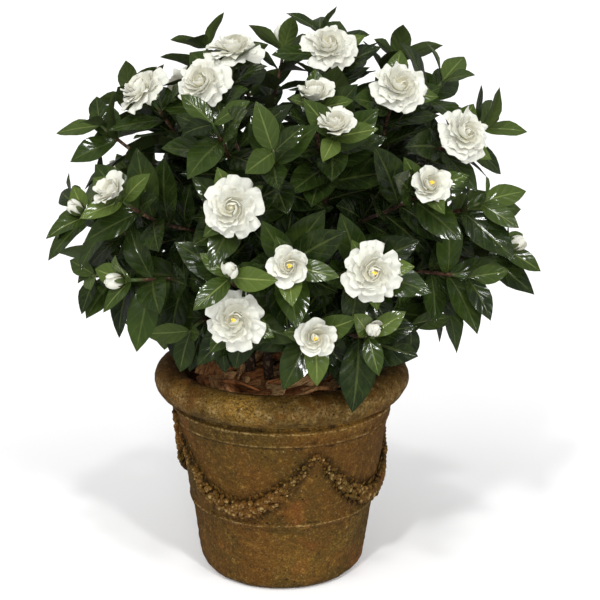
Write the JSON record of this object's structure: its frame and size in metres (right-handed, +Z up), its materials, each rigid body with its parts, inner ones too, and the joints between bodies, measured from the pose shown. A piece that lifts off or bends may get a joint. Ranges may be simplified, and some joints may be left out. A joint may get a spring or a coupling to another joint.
{
  "type": "potted gardenia",
  "caption": "Full gardenia shrub with white double flowers and buds, glossy leaves and woody stems, in a round antiqued pot with a rolled rim, swags in relief and bark mulch.",
  "frame": {"origin": "middle of the pot's flat base", "axes": "+Z up, -Y towards the side that the picture shows, +X to that view's right"},
  "size_m": [0.559, 0.5024, 0.6669],
  "materials": {
    "pot": "matte",
    "soil": "matte",
    "bark": "matte",
    "foliage": "satin",
    "petals": "matte"
  },
  "bodies": {
    "root": {"pot": "pot", "soil": "soil", "bark_mulch": "bark", "leafy_stem_1": "foliage", "leafy_stem_2": "foliage", "leafy_stem_3": "foliage", "leafy_stem_4": "foliage", "leafy_stem_5": "foliage", "leafy_stem_6": "foliage", "leafy_stem_7": "foliage", "leafy_stem_8": "foliage", "flower_1": "petals", "flower_2": "petals", "flower_3": "petals", "flower_4": "petals", "flower_5": "petals", "flower_6": "petals", "flower_7": "petals", "flower_8": "petals", "flower_9": "petals", "flower_10": "petals", "flower_11": "petals", "flower_12": "petals", "flower_13": "petals", "flower_14": "petals", "flower_15": "petals", "flower_16": "petals", "flower_17": "petals", "flower_18": "petals", "flower_19": "petals", "flower_20": "petals", "flower_21": "petals", "flower_22": "petals", "bud_1": "petals", "bud_2": "petals", "bud_3": "petals", "bud_4": "petals", "bud_5": "petals", "bud_6": "petals", "bud_7": "petals", "bud_8": "petals"}
  },
  "joints": []
}
